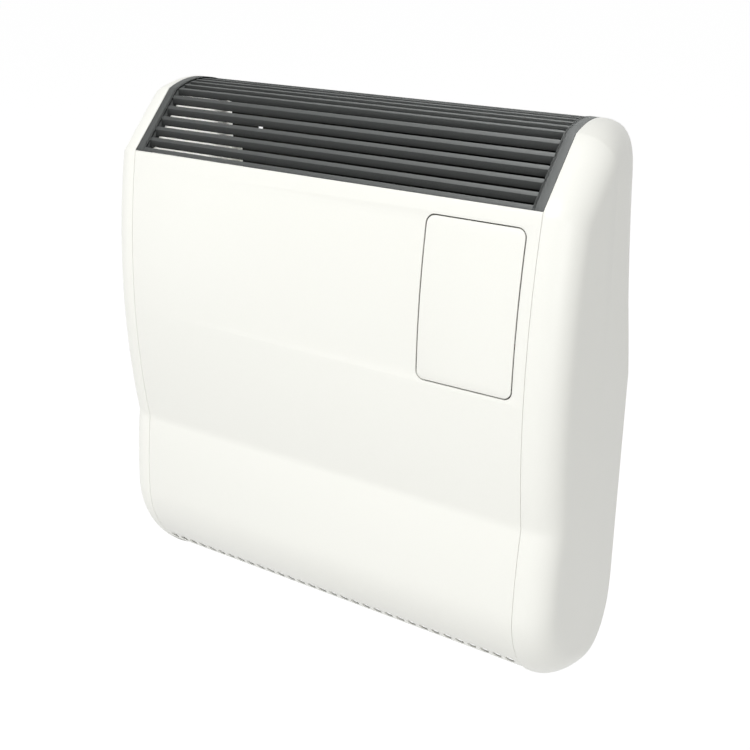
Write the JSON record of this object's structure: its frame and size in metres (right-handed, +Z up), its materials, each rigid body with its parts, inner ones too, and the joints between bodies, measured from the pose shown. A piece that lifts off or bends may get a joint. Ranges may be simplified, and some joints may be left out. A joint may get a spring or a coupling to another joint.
{
  "type": "wall mounted gas heater",
  "caption": "Wall mounted balanced-flue gas heater with a bowed white casing, sloping slatted outlet, drop-down control door, burner, exchanger and fans.",
  "frame": {"origin": "on the back plate's wall face, half way across the heater and 352 mm above the casing's lowest point", "axes": "+Z up, the heater's front looks along -Y, +X to the right as seen from the front"},
  "size_m": [0.6306, 0.201, 0.667],
  "materials": {
    "white_casing": "satin",
    "white_enamel": "satin",
    "anthracite_plastic": "fine matt",
    "grey_plastic": "matt",
    "black_plastic": "matt",
    "red_plastic": "gloss",
    "green_lens": "clear gloss",
    "red_lens": "clear gloss",
    "circuit_board": "satin",
    "galvanised_steel": "spangled",
    "bright_steel": "polished",
    "stainless_steel": "heat tinted",
    "motor_steel": "satin",
    "cast_aluminium": "as cast",
    "brass": "machined",
    "copper": "drawn",
    "white_ceramic": "glazed",
    "black_rubber": "matt"
  },
  "bodies": {
    "chassis": {"back_plate": "galvanised_steel", "side_frame_left": "white_enamel", "side_frame_right": "white_enamel", "end_cap_right": "white_casing", "end_cap_left": "white_casing", "front_panel": "white_casing", "top_grille": "anthracite_plastic", "hinge_pin_left": "bright_steel", "hinge_pin_right": "bright_steel", "control_tray": "grey_plastic", "door_magnet": "black_plastic", "thermostat_body": "black_plastic", "power_switch_body": "black_plastic", "fan_switch_body": "black_plastic", "reset_switch_body": "black_plastic", "flame_lens": "green_lens", "fault_lens": "red_lens", "control_board": "circuit_board", "board_cover": "grey_plastic", "heat_exchanger": "cast_aluminium", "exchanger_bracket_left": "galvanised_steel", "exchanger_bracket_right": "galvanised_steel", "burner_tube": "stainless_steel", "burner_flange": "galvanised_steel", "flange_screw_rear": "bright_steel", "flange_screw_front": "bright_steel", "ignition_electrode": "white_ceramic", "flame_electrode": "white_ceramic", "limit_thermostat": "black_plastic", "flue_spigot": "cast_aluminium", "air_spigot": "cast_aluminium", "blower_housing": "cast_aluminium", "blower_motor": "motor_steel", "gas_valve": "cast_aluminium", "valve_bracket": "galvanised_steel", "gas_inlet_pipe": "brass", "gas_inlet_union": "brass", "burner_feed_pipe": "copper", "burner_injector": "brass", "fan_scroll": "galvanised_steel", "rotor_bearing": "black_rubber", "fan_motor": "motor_steel", "pressure_switch": "grey_plastic", "room_sensor": "black_plastic", "cable_gland": "black_plastic"},
    "door": {"control_door": "white_casing"},
    "knob": {"temperature_knob": "anthracite_plastic"},
    "power_key": {"power_rocker": "anthracite_plastic"},
    "fan_key": {"fan_rocker": "anthracite_plastic"},
    "reset_key": {"reset_button": "red_plastic"},
    "rotor": {"crossflow_rotor": "galvanised_steel"},
    "blower": {"blower_wheel": "galvanised_steel"}
  },
  "joints": [
    {"name": "door_hinge", "type": "hinge", "parent": "chassis", "child": "door", "pos_m": [0.2024, -0.19514, 0.051], "axis": [1, 0, 0], "range_deg": [0, 90]},
    {"name": "knob_turn", "type": "hinge", "parent": "chassis", "child": "knob", "pos_m": [0.2024, -0.157, 0.1664], "axis": [0, -1, 0], "range_deg": [0, 270]},
    {"name": "power_switch", "type": "hinge", "parent": "chassis", "child": "power_key", "pos_m": [0.1694, -0.151, 0.0834], "axis": [1, 0, 0], "range_deg": [-14, 0]},
    {"name": "fan_switch", "type": "hinge", "parent": "chassis", "child": "fan_key", "pos_m": [0.2024, -0.151, 0.0834], "axis": [1, 0, 0], "range_deg": [-14, 0]},
    {"name": "reset_press", "type": "slide", "parent": "chassis", "child": "reset_key", "axis": [0, 1, 0], "range_m": [0, 0.002], "stiffness_N_per_m": 300, "springref_m": -0.002},
    {"name": "rotor_spin", "type": "hinge", "parent": "chassis", "child": "rotor", "pos_m": [-0.075, -0.105, -0.23], "axis": [1, 0, 0], "continuous": true},
    {"name": "blower_spin", "type": "hinge", "parent": "chassis", "child": "blower", "pos_m": [0.185, -0.085, -0.05], "axis": [0, 1, 0], "continuous": true}
  ]
}
